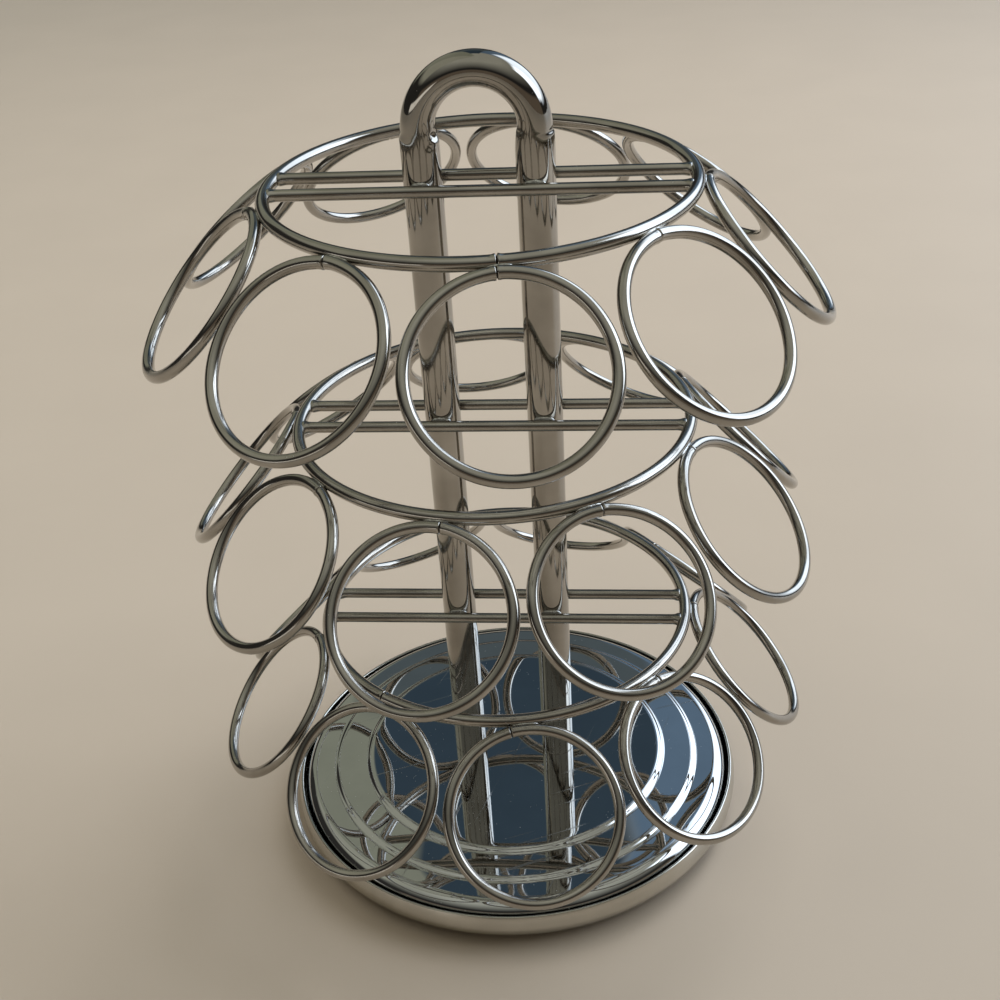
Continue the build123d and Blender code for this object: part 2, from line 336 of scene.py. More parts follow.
@dataclass(frozen=True)
class Chrome(Finish):
    """Bright plating with polishing haze, fine pits, dust and light scratches."""

    tint: Colour = (0.44, 0.42, 0.385)
    shade_tint: Colour = (0.33, 0.31, 0.28)
    gloss: float = 0.10
    haze: float = 0.08
    grain: float = 0.02
    wave_scale: float = 120.0
    wave_depth: float = 0.012 * MM
    cloud_scale: float = 55.0
    grain_scale: float = 2600.0
    pits_per_metre: float = 700.0
    pit_size: float = 0.10
    pit_rough: float = 0.12
    pit_relief: float = 0.25
    dust: float = 0.25
    dust_colour: Colour = (0.78, 0.78, 0.76)
    motes_per_metre: float = 420.0
    mote_size: float = 0.075
    mote_turn: float = 31.0
    scratches: float = 0.0
    scratch_relief: float = 0.05

    def shade(self, net: Net) -> None:
        """Lay the plating's nodes."""
        where = net.place()
        cloud = net.noise(where, self.cloud_scale, detail=4.0)
        wave = net.noise(where, self.wave_scale, detail=2.0, rough=0.35)
        grain = net.noise(where, self.grain_scale, detail=3.0, rough=0.6)
        pits = net.specks(where, self.pits_per_metre, self.pit_size)
        turned = net.stretched(where, (1.0, 1.0, 1.0), self.mote_turn)
        motes = net.specks(turned, self.motes_per_metre, self.mote_size)
        first, second = (scratches.mask(net, where) for scratches in SCRATCH_SETS)
        lines = first + second
        colour = net.blend(cloud.above(0.32, 0.36), self.shade_tint, self.tint)
        colour = net.blend(motes * self.dust, colour, self.dust_colour)
        rough = self.gloss + cloud.above(0.35, 0.4) * self.haze + grain * self.grain
        rough = rough + pits * self.pit_rough + motes * self.dust + lines * self.scratches
        relief = wave + grain * (self.grain * 0.5) + pits * self.pit_relief
        relief = relief - lines * self.scratch_relief
        normal = net.bump(relief, self.wave_depth)
        metal = 1.0 - motes * self.dust
        net.surface({"Base Color": colour, "Metallic": metal, "Roughness": rough, "Normal": normal})


@dataclass(frozen=True)
class WeldMetal(Finish):
    """Plating over a weld: lumpy and a little duller."""

    dark: Colour = (0.36, 0.35, 0.33)
    light: Colour = (0.60, 0.60, 0.58)
    lump_scale: float = 900.0
    fine_scale: float = 4200.0
    rough: float = 0.16
    relief: float = 0.10 * MM

    def shade(self, net: Net) -> None:
        """Lay the weld's nodes."""
        where = net.place()
        lumps = net.noise(where, self.lump_scale, detail=3.0, rough=0.6)
        fine = net.noise(where, self.fine_scale, detail=2.0)
        colour = net.blend(lumps.above(0.35, 0.3), self.dark, self.light)
        rough = self.rough + lumps * 0.14 + fine * 0.05
        normal = net.bump(lumps + fine * 0.2, self.relief)
        net.surface({"Base Color": colour, "Metallic": 1.0, "Roughness": rough, "Normal": normal})


@dataclass(frozen=True)
class SeamPaintedShade(Finish):
    """Painted shade at the bottom of a butt joint's groove: near-black colour laid on the groove's
    faces.
    """

    dark: Colour = (0.018, 0.015, 0.012)
    light: Colour = (0.07, 0.055, 0.045)
    patch_scale: float = 3000.0
    metal: float = 0.4
    rough: float = 0.45

    def shade(self, net: Net) -> None:
        """Lay the painted shade's nodes."""
        patches = net.noise(net.place(), self.patch_scale, detail=3.0)
        colour = net.blend(patches, self.dark, self.light)
        rough = self.rough + patches * 0.3
        net.surface({"Base Color": colour, "Metallic": self.metal, "Roughness": rough})


@dataclass(frozen=True)
class Steel(Finish):
    """Plain or plated steel that isn't polished: rolled, turned or tumbled."""

    light: Colour = (0.55, 0.55, 0.54)
    dark: Colour = (0.34, 0.33, 0.32)
    rough: float = 0.32
    stain: Colour = (0.28, 0.22, 0.16)
    stain_share: float = 0.15
    lay: Colour = (1.0, 12.0, 1.0)
    relief: float = 0.02 * MM
    lay_scale: float = 1500.0
    cloud_scale: float = 90.0
    spot_scale: float = 420.0

    def shade(self, net: Net) -> None:
        """Lay the metal's nodes."""
        where = net.place()
        lay = net.noise(net.stretched(where, self.lay), self.lay_scale, detail=4.0, rough=0.6)
        cloud = net.noise(where, self.cloud_scale, detail=4.0)
        spots = net.noise(where, self.spot_scale, detail=5.0, rough=0.65).above(0.58, 0.12)
        spots = spots * self.stain_share
        colour = net.blend(cloud.above(0.3, 0.4), self.dark, self.light)
        colour = net.blend(spots, colour, self.stain)
        rough = self.rough + cloud * 0.12 + lay * 0.08 + spots * 0.4
        normal = net.bump(lay + spots, self.relief)
        metal = 1.0 - spots * 0.5
        net.surface({"Base Color": colour, "Metallic": metal, "Roughness": rough, "Normal": normal})


@dataclass(frozen=True)
class Moulded(Finish):
    """Rubber or plastic straight from the mould, with bloom and fine texture."""

    colour: Colour = (0.02, 0.02, 0.02)
    bloom: Colour = (0.06, 0.06, 0.058)
    rough: float = 0.6
    relief: float = 0.05 * MM
    cloud_scale: float = 160.0
    texture_scale: float = 3200.0

    def shade(self, net: Net) -> None:
        """Lay the moulding's nodes."""
        where = net.place()
        cloud = net.noise(where, self.cloud_scale, detail=4.0)
        texture = net.noise(where, self.texture_scale, detail=4.0, rough=0.7)
        colour = net.blend(cloud.above(0.42, 0.3), self.colour, self.bloom)
        rough = self.rough + texture * 0.15
        normal = net.bump(texture, self.relief)
        net.surface({"Base Color": colour, "Roughness": rough, "Normal": normal})


WIRE_CHROME = Chrome("wire_chrome", gloss=0.10, haze=0.06, pit_size=0.11)
HOOP_CHROME = Chrome("hoop_chrome", gloss=0.09, haze=0.06, wave_scale=90.0)
TUBE_CHROME = Chrome(
    "tube_chrome", gloss=0.04, haze=0.04, grain=0.01, wave_scale=60.0, wave_depth=0.02 * MM
)
COVER_CHROME = Chrome(
    "cover_chrome",
    tint=(0.55, 0.56, 0.56),
    shade_tint=(0.50, 0.51, 0.51),
    gloss=0.012,
    haze=0.015,
    grain=0.006,
    wave_scale=24.0,
    wave_depth=0.016 * MM,
    pit_size=0.05,
    dust=0.75,
    motes_per_metre=620.0,
    scratches=0.16,
)
PAN_CHROME = Chrome(
    "pan_chrome",
    tint=(0.62, 0.60, 0.545),
    shade_tint=(0.50, 0.485, 0.44),
    gloss=0.14,
    haze=0.10,
    wave_scale=45.0,
    wave_depth=0.03 * MM,
)
WELD_METAL = WeldMetal("weld_metal")
# near-black painted shade for the faces in the butt joints' grooves
SEAM_PAINTED_SHADE = SeamPaintedShade("seam_painted_shade")
ROLLED_STEEL = Steel("rolled_steel")
ZINC_PLATE = Steel("zinc_plate", light=(0.62, 0.63, 0.64), dark=(0.45, 0.46, 0.48), rough=0.26)
BALL_STEEL = Steel(
    "ball_steel",
    light=(0.60, 0.60, 0.60),
    dark=(0.52, 0.52, 0.52),
    rough=0.10,
    relief=0.004 * MM,
)
RUBBER = Moulded("black_rubber_pad")
CAGE_NYLON = Moulded(
    "cage_nylon", colour=(0.62, 0.60, 0.54), bloom=(0.72, 0.71, 0.66), rough=0.42
)

NODE_FINISHES: dict[str, Finish] = {
    "base_pan": PAN_CHROME,
    "turntable_plate": ROLLED_STEEL,
    "upper_race": ZINC_PLATE,
    "lower_race": ZINC_PLATE,
    "upper_race_rivets": ROLLED_STEEL,
    "lower_race_rivets": ROLLED_STEEL,
    "bearing_balls": BALL_STEEL,
    "bearing_cage": CAGE_NYLON,
    "pivot_bolt": ZINC_PLATE,
    "pivot_washer": ZINC_PLATE,
    "pivot_nut": ZINC_PLATE,
    "post_end_plugs": ROLLED_STEEL,
    "post_screws": ZINC_PLATE,
    "post_lock_washers": ZINC_PLATE,
    "rubber_feet": RUBBER,
}


# Mesh building


def ease(share: float) -> float:
    """A smooth step from 0 to 1, held at both ends."""
    held = min(1.0, max(0.0, share))
    return held * held * (3.0 - 2.0 * held)


def bell(distance: float, width: float) -> float:
    """A soft bump, 1 at no distance and gone beyond about twice the width."""
    return math.exp(-((distance / width) ** 2))


def oval(centre: Vector, side: Vector, rise: Vector, count: int) -> Points:
    """Points round an oval.

    Args:
        centre: its middle.
        side: its first half axis, with its length.
        rise: its second half axis, with its length.
        count: how many points.

    Returns:
        The points in order.
    """
    turns = [math.tau * k / count for k in range(count)]
    return [centre + side * math.cos(t) + rise * math.sin(t) for t in turns]


def middle(node: str) -> Vector:
    """The middle of a CAD node's box."""
    low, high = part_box(node)
    return (low + high) / 2.0


class Shell:
    """Gathers strips of smooth quads into one mesh."""

    def __init__(self) -> None:
        """Start with no faces."""
        self.mesh = bmesh.new()

    def strip(
        self, rings: Sequence[Points], loop: bool = False, marked: Iterable[int] = ()
    ) -> None:
        """Lay faces between successive rings. A ring of one point is a pole.

        Args:
            rings: rings of points, all of one count unless they are poles.
            loop: whether the last ring joins the first.
            marked: spans that take the second material.
        """
        rows = [[self.mesh.verts.new(point) for point in ring] for ring in rings]
        ends = rows[1:] + rows[:1] if loop else rows[1:]
        dark = set(marked)
        for index, (row, following) in enumerate(zip(rows, ends)):
            for corners in self._spans(row, following):
                face = self.mesh.faces.new(corners)
                face.smooth = True
                face.material_index = int(index in dark)

    @staticmethod
    def _spans(row: Sequence[Corner], following: Sequence[Corner]) -> Iterator[tuple[Corner, ...]]:
        """Corners of the faces between two rings.

        Args:
            row: one ring's vertices.
            following: the next ring's vertices.

        Returns:
            Corners of each face.
        """
        count = max(len(row), len(following))
        for k in range(count):
            if len(row) == 1:
                yield (row[0], following[k], following[k - 1])
            elif len(following) == 1:
                yield (row[k - 1], row[k], following[0])
            else:
                yield (row[k - 1], row[k], following[k], following[k - 1])

    def piece(self, name: str) -> bpy.types.Object:
        """Close the mesh and put it in the scene.

        Args:
            name: the piece's name.

        Returns:
            The new object.
        """
        bmesh.ops.recalc_face_normals(self.mesh, faces=self.mesh.faces)
        data = bpy.data.meshes.new(name)
        self.mesh.to_mesh(data)
        self.mesh.free()
        made = bpy.data.objects.new(name, data)
        bpy.context.scene.collection.objects.link(made)
        return made


def settle(piece: bpy.types.Object, slot: Slot, finishes: Sequence[Finish], *nodes: str) -> None:
    """Dress a piece and let it ride on the carousel.

    Args:
        piece: the piece.
        slot: the record's slot that its finish belongs to; not used.
        finishes: its materials in order.
        nodes: the CAD nodes that it stands for.
    """
    for finish in finishes:
        piece.data.materials.append(finish.material())
    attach(piece, Body.CAROUSEL.value)
    if nodes:
        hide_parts(*nodes)
    faces = len(piece.data.polygons)
    log.info("%s: %d faces, stands for %s", piece.name, faces, nodes or "no node")


# Wire work

# Millimetres from a butt joint and from a cross wire's end at which the wire needs a section
JOINT_SECTIONS = (0.02, 0.09, 0.16, 0.24, 0.4, 0.7, 1.2, 2.0, 3.5, 5.5)
END_SECTIONS = (0.0, 0.25, 0.5, 0.8, 1.1, 1.5, 2.0, 2.6, 3.4, 4.6, 6.5, 9.0)


@dataclass(frozen=True)
class ButtJoint:
    """The line where a bent wire's two ends meet, pressed together and ground."""

    angle: float
    step: float
    sideways: float = 0.6
    groove: float = 0.55 * MM
    groove_width: float = 0.16 * MM
    # share of the groove's width whose faces take the painted shade
    painted_shade_share: float = 0.9
    swell: float = 0.10 * MM
    swell_offset: float = 0.55 * MM
    swell_width: float = 0.5 * MM
    settle_length: float = 7.0 * MM
    reach: float = 6.5 * MM

    def offsets(self) -> list[float]:
        """Distances from the joint at which a wire needs a section."""
        return [side * d * MM for d in JOINT_SECTIONS for side in (-1.0, 1.0)]

    def thickness(self, distance: float) -> float:
        """What the joint adds to the wire's radius.

        Args:
            distance: metres along the wire from the joint.

        Returns:
            Metres, below 0 in the groove.
        """
        rim = bell(abs(distance) - self.swell_offset, self.swell_width) * self.swell
        return rim - bell(distance, self.groove_width) * self.groove

    def shift(self, distance: float) -> float:
        """How far the proud end stands off the other's line.

        Args:
            distance: metres along the wire from the joint.

        Returns:
            Metres.
        """
        if distance < 0.0:
            return 0.0
        return self.step * (1.0 - ease(distance / self.settle_length))


@dataclass
class WireCircle:
    """A wire bent to a circle with its butt joint."""

    centre: Vector
    across: Vector
    along: Vector
    radius: float
    wire_radius: float
    joint: ButtJoint
    waver: float
    waver_turn: float = 0.0
    sections: int = 132
    sides: int = 22

    def lay(self, shell: Shell) -> None:
        """Add the wire's skin to a shell.

        Args:
            shell: the shell that takes it.
        """
        rings, dark = [], []
        for angle in self._angles():
            distance = self._distance(angle)
            # spans in the middle of the groove take the painted shade as their second material
            if abs(distance) < self.joint.groove_width * self.joint.painted_shade_share:
                dark.append(len(rings))
            rings.append(self._section(angle, distance))
        shell.strip(rings, loop=True, marked=dark)

    def _angles(self) -> list[float]:
        """Angles of the sections, closer together near the joint."""
        seam = math.radians(self.joint.angle)
        even = [seam + math.tau * (k + 0.5) / self.sections for k in range(self.sections)]
        near = [seam + offset / self.radius for offset in self.joint.offsets()]
        span = self.joint.reach / self.radius
        kept = [a for a in even if span < a - seam < math.tau - span]
        return sorted(kept + [a if a > seam else a + math.tau for a in near])

    def _distance(self, angle: float) -> float:
        """Signed length of wire from the joint to an angle."""
        turned = (angle - math.radians(self.joint.angle) + math.pi) % math.tau - math.pi
        return turned * self.radius

    def _section(self, angle: float, distance: float) -> Points:
        """The wire's outline at an angle.

        Args:
            angle: radians from across towards along.
            distance: metres of wire from the joint.

        Returns:
            Points round the wire.
        """
        radial = self.across * math.cos(angle) + self.along * math.sin(angle)
        normal = self.across.cross(self.along)
        wave = self.waver * math.cos(2.0 * angle + self.waver_turn)
        shift = self.joint.shift(distance)
        outward = radial * (self.radius + wave + shift)
        centre = self.centre + outward + normal * (self.joint.sideways * shift)
        half = self.wire_radius + self.joint.thickness(distance)
        return oval(centre, radial * half, normal * half, self.sides)


@dataclass
class Bead:
    """A small weld between two wires, longest along its first axis."""

    centre: Vector
    axes: tuple[Vector, Vector, Vector]
    halves: tuple[float, float, float]
    stations: int = 11
    sides: int = 14
    fullness: float = 0.42
    lumps: tuple[float, float] = (0.93, 1.06)

    def lay(self, shell: Shell, rng: random.Random) -> None:
        """Add the bead to a shell.

        Args:
            shell: the shell that takes it.
            rng: the source of its lumps.
        """
        long_axis, side, rise = self.axes
        long_half, side_half, rise_half = self.halves
        rings: list[Points] = [[self.centre - long_axis * long_half]]
        for k in range(1, self.stations):
            along = -1.0 + 2.0 * k / self.stations
            swell = (1.0 - along * along) ** self.fullness * rng.uniform(*self.lumps)
            centre = self.centre + long_axis * (along * long_half)
            across, up = side * (side_half * swell), rise * (rise_half * swell)
            rings.append(oval(centre, across, up, self.sides))
        rings.append([self.centre + long_axis * long_half])
        shell.strip(rings)


@dataclass
class WireTier:
    """One tier: its hoop, two cross wires, nine pod rings and their welds."""

    name: str
    hoop_joint: float
    ring_joints: Sequence[float]
    seed: int
    hoop_wire: float = 3.9 * MM
    ring_wire: float = 3.5 * MM
    ring_radius: float = 25.75 * MM
    ring_lean: float = 43.5
    post_radius: float = 5.5 * MM
    post_spacing: float = 31.6 * MM
    end_flare: float = 0.9 * MM
    end_rise: float = 0.18 * MM
    end_sink: float = 0.8 * MM
    end_cap: float = 0.05 * MM
    flare_offset: float = 0.7 * MM
    flare_width: float = 1.0 * MM
    cross_pitch: float = 4.0  # mm
    cross_sections: int = 11
    cross_sides: int = 22
    hoop_sections: int = 220
    hoop_sides: int = 26
    joint_steps: tuple[float, float] = (0.08, 0.24)  # mm
    wavers: tuple[float, float] = (0.03, 0.12)  # mm
    ring_weld_lengths: tuple[float, float] = (3.6, 5.0)  # mm
    ring_weld_half: float = 1.25 * MM
    ring_weld_rise: float = 0.75 * MM
    ring_weld_sink: float = 0.2 * MM
    post_weld_lengths: tuple[float, float] = (3.0, 3.8)  # mm
    post_weld_half: float = 2.3 * MM
    post_weld_rise: float = 0.95 * MM
    post_weld_sink: float = 0.1 * MM
    rng: random.Random = field(init=False)

    def __post_init__(self) -> None:
        """Seed the tier's own small differences."""
        self.rng = random.Random(self.seed)

    def build(self) -> None:
        """Make every piece of the tier."""
        self._hoop()
        self._cross_wire("front")
        self._cross_wire("rear")
        for index, joint in enumerate(self.ring_joints):
            self._pod_ring(index + 1, joint)
        self._ring_welds()
        self._frame_welds()

    def _node(self, part: str) -> str:
        """The tier's CAD node for a part."""
        return f"{self.name}_{part}"

    def _hoop_radius(self) -> float:
        """Radius of the hoop's wire centre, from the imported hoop."""
        low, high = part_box(self._node("hoop"))
        return (high.x - low.x - self.hoop_wire) / 2.0

    def _hoop(self) -> None:
        """The round hoop."""
        node = self._node("hoop")
        circle = WireCircle(
            centre=middle(node),
            across=SIDEWAYS,
            along=INTO_DEPTH,
            radius=self._hoop_radius(),
            wire_radius=self.hoop_wire / 2.0,
            joint=ButtJoint(self.hoop_joint, step=0.10 * MM, swell=0.22 * MM),
            sections=self.hoop_sections,
            sides=self.hoop_sides,
            waver=0.10 * MM,
        )
        shell = Shell()
        circle.lay(shell)
        # the second material is the painted shade in the joint's groove
        settle(shell.piece(node + "_wire"), Slot.WIRE, (HOOP_CHROME, SEAM_PAINTED_SHADE), node)

    def _cross_wire(self, side: str) -> None:
        """A straight wire whose ends spread where they are welded to the hoop.

        Args:
            side: front or rear.
        """
        node = self._node(f"{side}_cross_wire")
        low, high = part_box(node)
        centre = middle(node)
        half = (high.z - low.z) / 2.0
        reach = (high.x - low.x) / 2.0 + self.end_sink
        ends = [reach - d * MM for d in END_SECTIONS]
        count = self.cross_sections
        even = [k * self.cross_pitch * MM for k in range(-count, count + 1)]
        rings: list[Points] = [[Vector((-reach - self.end_cap, centre.y, centre.z))]]
        for x in [-end for end in ends] + even + ends[::-1]:
            spread = bell(reach - abs(x) - self.flare_offset, self.flare_width)
            depth = INTO_DEPTH * (half + spread * self.end_flare)
            rise = UP * (half + spread * self.end_rise)
            rings.append(oval(Vector((x, centre.y, centre.z)), depth, rise, self.cross_sides))
        rings.append([Vector((reach + self.end_cap, centre.y, centre.z))])
        shell = Shell()
        shell.strip(rings)
        settle(shell.piece(node + "_rod"), Slot.WIRE, (WIRE_CHROME,), node)

    def _seat(self, index: int) -> tuple[Vector, Vector, Vector]:
        """Where a pod ring lies.

        Args:
            index: the ring's number from 1.

        Returns:
            Its centre, its uphill direction and its level direction.
        """
        centre = middle(self._node(f"pod_ring_{index}"))
        outward = Vector((centre.x, centre.y, 0.0)).normalized()
        lean = math.radians(self.ring_lean)
        uphill = UP * math.cos(lean) - outward * math.sin(lean)
        return centre, uphill, UP.cross(outward)

    def _pod_ring(self, index: int, joint: float) -> None:
        """One leaning ring.

        Args:
            index: its number from 1.
            joint: where its butt joint is, in degrees from its top.
        """
        node = self._node(f"pod_ring_{index}")
        centre, uphill, level = self._seat(index)
        circle = WireCircle(
            centre=centre,
            across=uphill,
            along=level,
            radius=self.ring_radius,
            wire_radius=self.ring_wire / 2.0,
            joint=ButtJoint(joint, step=self.rng.uniform(*self.joint_steps) * MM),
            waver=self.rng.uniform(*self.wavers) * MM,
            waver_turn=self.rng.uniform(0.0, math.tau),
        )
        shell = Shell()
        circle.lay(shell)
        # the second material is the painted shade in the joint's groove
        settle(shell.piece(node + "_wire"), Slot.WIRE, (WIRE_CHROME, SEAM_PAINTED_SHADE), node)

    def _ring_welds(self) -> None:
        """The pressed welds between the hoop and the top of each ring."""
        hoop_centre = middle(self._node("hoop"))
        shell = Shell()
        for index in range(1, len(self.ring_joints) + 1):
            centre, uphill, level = self._seat(index)
            top = centre + uphill * self.ring_radius
            outward = Vector((centre.x, centre.y, 0.0)).normalized()
            on_hoop = hoop_centre + outward * self._hoop_radius()
            apart = (top - on_hoop).normalized()
            contact = on_hoop + apart * (self.hoop_wire / 2.0 - self.ring_weld_sink)
            length = self.rng.uniform(*self.ring_weld_lengths) * MM
            halves = (length, self.ring_weld_half, self.ring_weld_rise)
            Bead(contact, (level, apart.cross(level), apart), halves).lay(shell, self.rng)
        settle(shell.piece(self._node("ring_welds")), Slot.WIRE, (WELD_METAL,))

    def _frame_welds(self) -> None:
        """The welds between the cross wires and the two posts."""
        height = middle(self._node("hoop")).z
        half, reach = self.post_spacing / 2.0, self.post_radius - self.post_weld_sink
        shell = Shell()
        for x in (-half, half):
            for y in (-reach, reach):
                length = self.rng.uniform(*self.post_weld_lengths) * MM
                halves = (length, self.post_weld_half, self.post_weld_rise)
                contact = Vector((x, y, height))
                Bead(contact, (SIDEWAYS, UP, INTO_DEPTH), halves).lay(shell, self.rng)
        settle(shell.piece(self._node("post_welds")), Slot.WIRE, (WELD_METAL,))


# Bent tube


@dataclass(frozen=True)
class Dent:
    """A pit or crease in the tube near the bend's start. Direction and width are degrees."""

    post: int
    direction: float
    height: float
    depth: float
    wide: float
    tall: float

    def press(self, post: int, direction: float, height: float) -> float:
        """How deep the tube is pressed at a point.

        Args:
            post: -1 or 1, the post's side along X.
            direction: degrees round the post from +X.
            height: metres past the start of the bend.

        Returns:
            Metres.
        """
        if post != self.post:
            return 0.0
        turned = (direction - self.direction + HALF_TURN) % (2.0 * HALF_TURN) - HALF_TURN
        return self.depth * bell(turned, self.wide) * bell(height - self.height, self.tall)


@dataclass
class HandleTube:
    """The inverted-U tube: two posts and the bend that is the handle."""

    radius: float = 5.5 * MM
    wall: float = 1.2 * MM
    spacing: float = 31.6 * MM
    bend_start: float = 237.8 * MM
    outer_squeeze: float = 0.45 * MM
    inner_squeeze: float = 1.15 * MM
    outer_neck: tuple[float, float] = (-0.6 * MM, 1.3 * MM)
    inner_neck: tuple[float, float] = (0.0, 12.0 * MM)
    sides: int = 72
    post_pitch: float = 12.0  # mm
    post_sections: int = 17
    foot_section: float = 0.3 * MM
    neck_pitch: float = 0.25 * MM
    neck_sections: int = 32
    neck_gap: float = 1.0 * MM
    bend_spans: int = 200
    dents: Sequence[Dent] = (
        Dent(-1, -24.0, -0.6 * MM, 1.5 * MM, 13.0, 1.0 * MM),
        Dent(-1, -52.0, -2.6 * MM, 0.22 * MM, 12.0, 1.6 * MM),
        Dent(-1, -12.0, -2.6 * MM, -0.25 * MM, 30.0, 0.8 * MM),
        Dent(-1, 172.0, -0.9 * MM, 0.10 * MM, 40.0, 0.5 * MM),
        Dent(1, -8.0, -0.3 * MM, 0.18 * MM, 42.0, 0.5 * MM),
        Dent(1, 172.0, 0.5 * MM, 0.18 * MM, 24.0, 0.9 * MM),
    )

    def build(self) -> None:
        """Make the tube with its bore."""
        outer = [self._ring(place, 0.0) for place in self._places()]
        inner = [self._ring(place, self.wall) for place in self._places()]
        shell = Shell()
        shell.strip(outer + inner[::-1], loop=True)
        settle(shell.piece("handle_tube_bent"), Slot.TUBE, (TUBE_CHROME,), "handle_tube")

    def _places(self) -> list[tuple[int, float, float]]:
        """Stations along the tube: post side, height from the bend's start, angle round it."""
        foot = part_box("handle_tube")[0].z - self.bend_start
        straight = [foot, foot + self.foot_section]
        straight += [foot + k * self.post_pitch * MM for k in range(1, self.post_sections + 1)]
        close = [-self.neck_pitch * k for k in range(self.neck_sections, 0, -1)]
        up = [z for z in straight if z < close[0] - self.neck_gap] + close
        bend = [math.pi * k / self.bend_spans for k in range(self.bend_spans + 1)]
        rising = [(-1, z, 0.0) for z in up]
        turning = [(-1 if a < math.pi / 2.0 else 1, 0.0, a) for a in bend]
        falling = [(1, z, math.pi) for z in reversed(up)]
        return rising + turning + falling

    def _ring(self, place: tuple[int, float, float], inset: float) -> Points:
        """The tube's outline at a station.

        Args:
            place: post side, height from the bend's start, and angle round the bend.
            inset: how far inside the outer face.

        Returns:
            Points round the tube.
        """
        post, height, angle = place
        half = self.spacing / 2.0
        outward = Vector((-math.cos(angle), 0.0, math.sin(angle)))
        centre = Vector((0.0, 0.0, self.bend_start)) + outward * half + UP * height
        along = min(angle, math.pi - angle) * half if height == 0.0 else height
        points = []
        for k in range(self.sides):
            turn = math.tau * k / self.sides
            narrow = self._narrowing(math.cos(turn), along)
            reach_out = (self.radius - narrow - inset) * math.cos(turn)
            reach_deep = (self.radius - inset) * math.sin(turn)
            direction = math.degrees(math.atan2(math.sin(turn), math.cos(turn) * post))
            pressed = sum(dent.press(post, direction, along) for dent in self.dents)
            share = 1.0 - pressed / self.radius
            points.append(centre + (outward * reach_out + INTO_DEPTH * reach_deep) * share)
        return points

    def _narrowing(self, outwardness: float, along: float) -> float:
        """How much the tube has narrowed in the plane of the bend.

        Args:
            outwardness: 1 on the outside of the bend, -1 on its inside.
            along: metres past the start of the bend.

        Returns:
            Metres off the half width.
        """
        share = 0.5 + 0.5 * outwardness
        middle_at = share * self.outer_neck[0] + (1.0 - share) * self.inner_neck[0]
        length = share * self.outer_neck[1] + (1.0 - share) * self.inner_neck[1]
        squeeze = share * self.outer_squeeze + (1.0 - share) * self.inner_squeeze
        return squeeze * ease((along - middle_at) / length + 0.5)


# Base


@dataclass(frozen=True)
class CoverStep:
    """A rounded step pressed into the cover, and the sloping ledge outside it."""

    radius: float
    drop: float
    ledge_fall: float
    width: float = 3.4 * MM
    arc_spans: int = 10

    def section(self, level: float, depth: float) -> Section:
        """The step's two arcs, from its inner side outward.

        Args:
            level: the face's height inside it.
            depth: how far below the upper face.

        Returns:
            Radii with heights.
        """
        bend = (self.width**2 + self.drop**2) / (4.0 * self.drop)
        turn = math.asin(self.width / (2.0 * bend))
        tilts = [turn * k / self.arc_spans for k in range(self.arc_spans + 1)]
        crest, hollow = self.radius - self.width / 2.0, self.radius + self.width / 2.0
        tight, wide = bend - depth, bend + depth
        below, above = level - bend, level - self.drop + bend
        falling = [(crest + tight * math.sin(t), below + tight * math.cos(t)) for t in tilts]
        levelling = [(hollow - wide * math.sin(t), above - wide * math.cos(t)) for t in tilts]
        return falling + levelling[-2::-1]


@dataclass
class BaseCover:
    """The pressed mirror cover: a flat disc, two rounded steps and a rolled shoulder."""

    top: float = 17.2 * MM
    sheet: float = 0.8 * MM
    radius: float = 76.8 * MM
    steps: Sequence[CoverStep] = (
        CoverStep(53.2 * MM, 1.15 * MM, 0.38 * MM),
        CoverStep(64.8 * MM, 1.0 * MM, 0.27 * MM),
    )
    disc_circles: Sequence[float] = (0.0, 6.0, 14.0, 24.0, 34.0, 42.0, 47.0, 50.0)  # mm
    shoulder: float = 5.5 * MM
    shoulder_spans: int = 14
    foot: float = 8.0 * MM
    hem: float = 0.12 * MM
    around: int = 288

    def build(self) -> None:
        """Make the cover."""
        outer = self._surface(0.0)
        inner = self._surface(self.sheet)
        shell = Shell()
        shell.strip([self._circle(r, z) for r, z in outer + inner[::-1]])
        settle(shell.piece("base_cover_pressed"), Slot.COVER, (COVER_CHROME,), "base_cover")

    def _circle(self, radius: float, height: float) -> Points:
        """A circle about the spin axis, or one point on it."""
        centre = UP * height
        if radius == 0.0:
            return [centre]
        return oval(centre, SIDEWAYS * radius, INTO_DEPTH * radius, self.around)

    def _surface(self, depth: float) -> Section:
        """The section from the axis to the skirt's foot.

        Args:
            depth: how far below the upper face.

        Returns:
            Radii with heights.
        """
        level = self.top
        section = [(r * MM, level - depth) for r in self.disc_circles]
        for step in self.steps:
            section += step.section(level, depth)
            level -= step.drop + step.ledge_fall
        turn_radius = self.shoulder - depth
        centre_radius, centre_height = self.radius - self.shoulder, level - self.shoulder
        for k in range(self.shoulder_spans + 1):
            angle = math.radians(90.0 * (1.0 - k / self.shoulder_spans))
            reach, rise = turn_radius * math.cos(angle), turn_radius * math.sin(angle)
            section.append((centre_radius + reach, centre_height + rise))
        edge = self.radius - depth
        rounded = edge + self.hem if depth > 0.0 else edge - self.hem
        return section + [(edge, self.foot + self.hem), (rounded, self.foot)]


@dataclass
class PackedParts:
    """The pieces of the base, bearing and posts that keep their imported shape."""

    finishes: Mapping[str, Finish]

    def build(self) -> None:
        """Dress each piece."""
        for name, finish in self.finishes.items():
            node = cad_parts[name]
            node.data.materials.clear()
            node.data.materials.append(finish.material())
            log.info("%s: %s", name, finish.name)


# Studio


@dataclass(frozen=True)
class Panel:
    """A soft-edged patch of the surroundings, in degrees of azimuth from +X and elevation."""

    azimuth: float
    elevation: float
    half_width: float
    half_height: float
    soft: float
    colour: Colour


@dataclass(frozen=True)
class Softbox:
    """A square lamp aimed at the middle of the object, its power in watts."""

    name: str
    place: tuple[float, float, float]
    size: float
    power: float
    colour: Colour


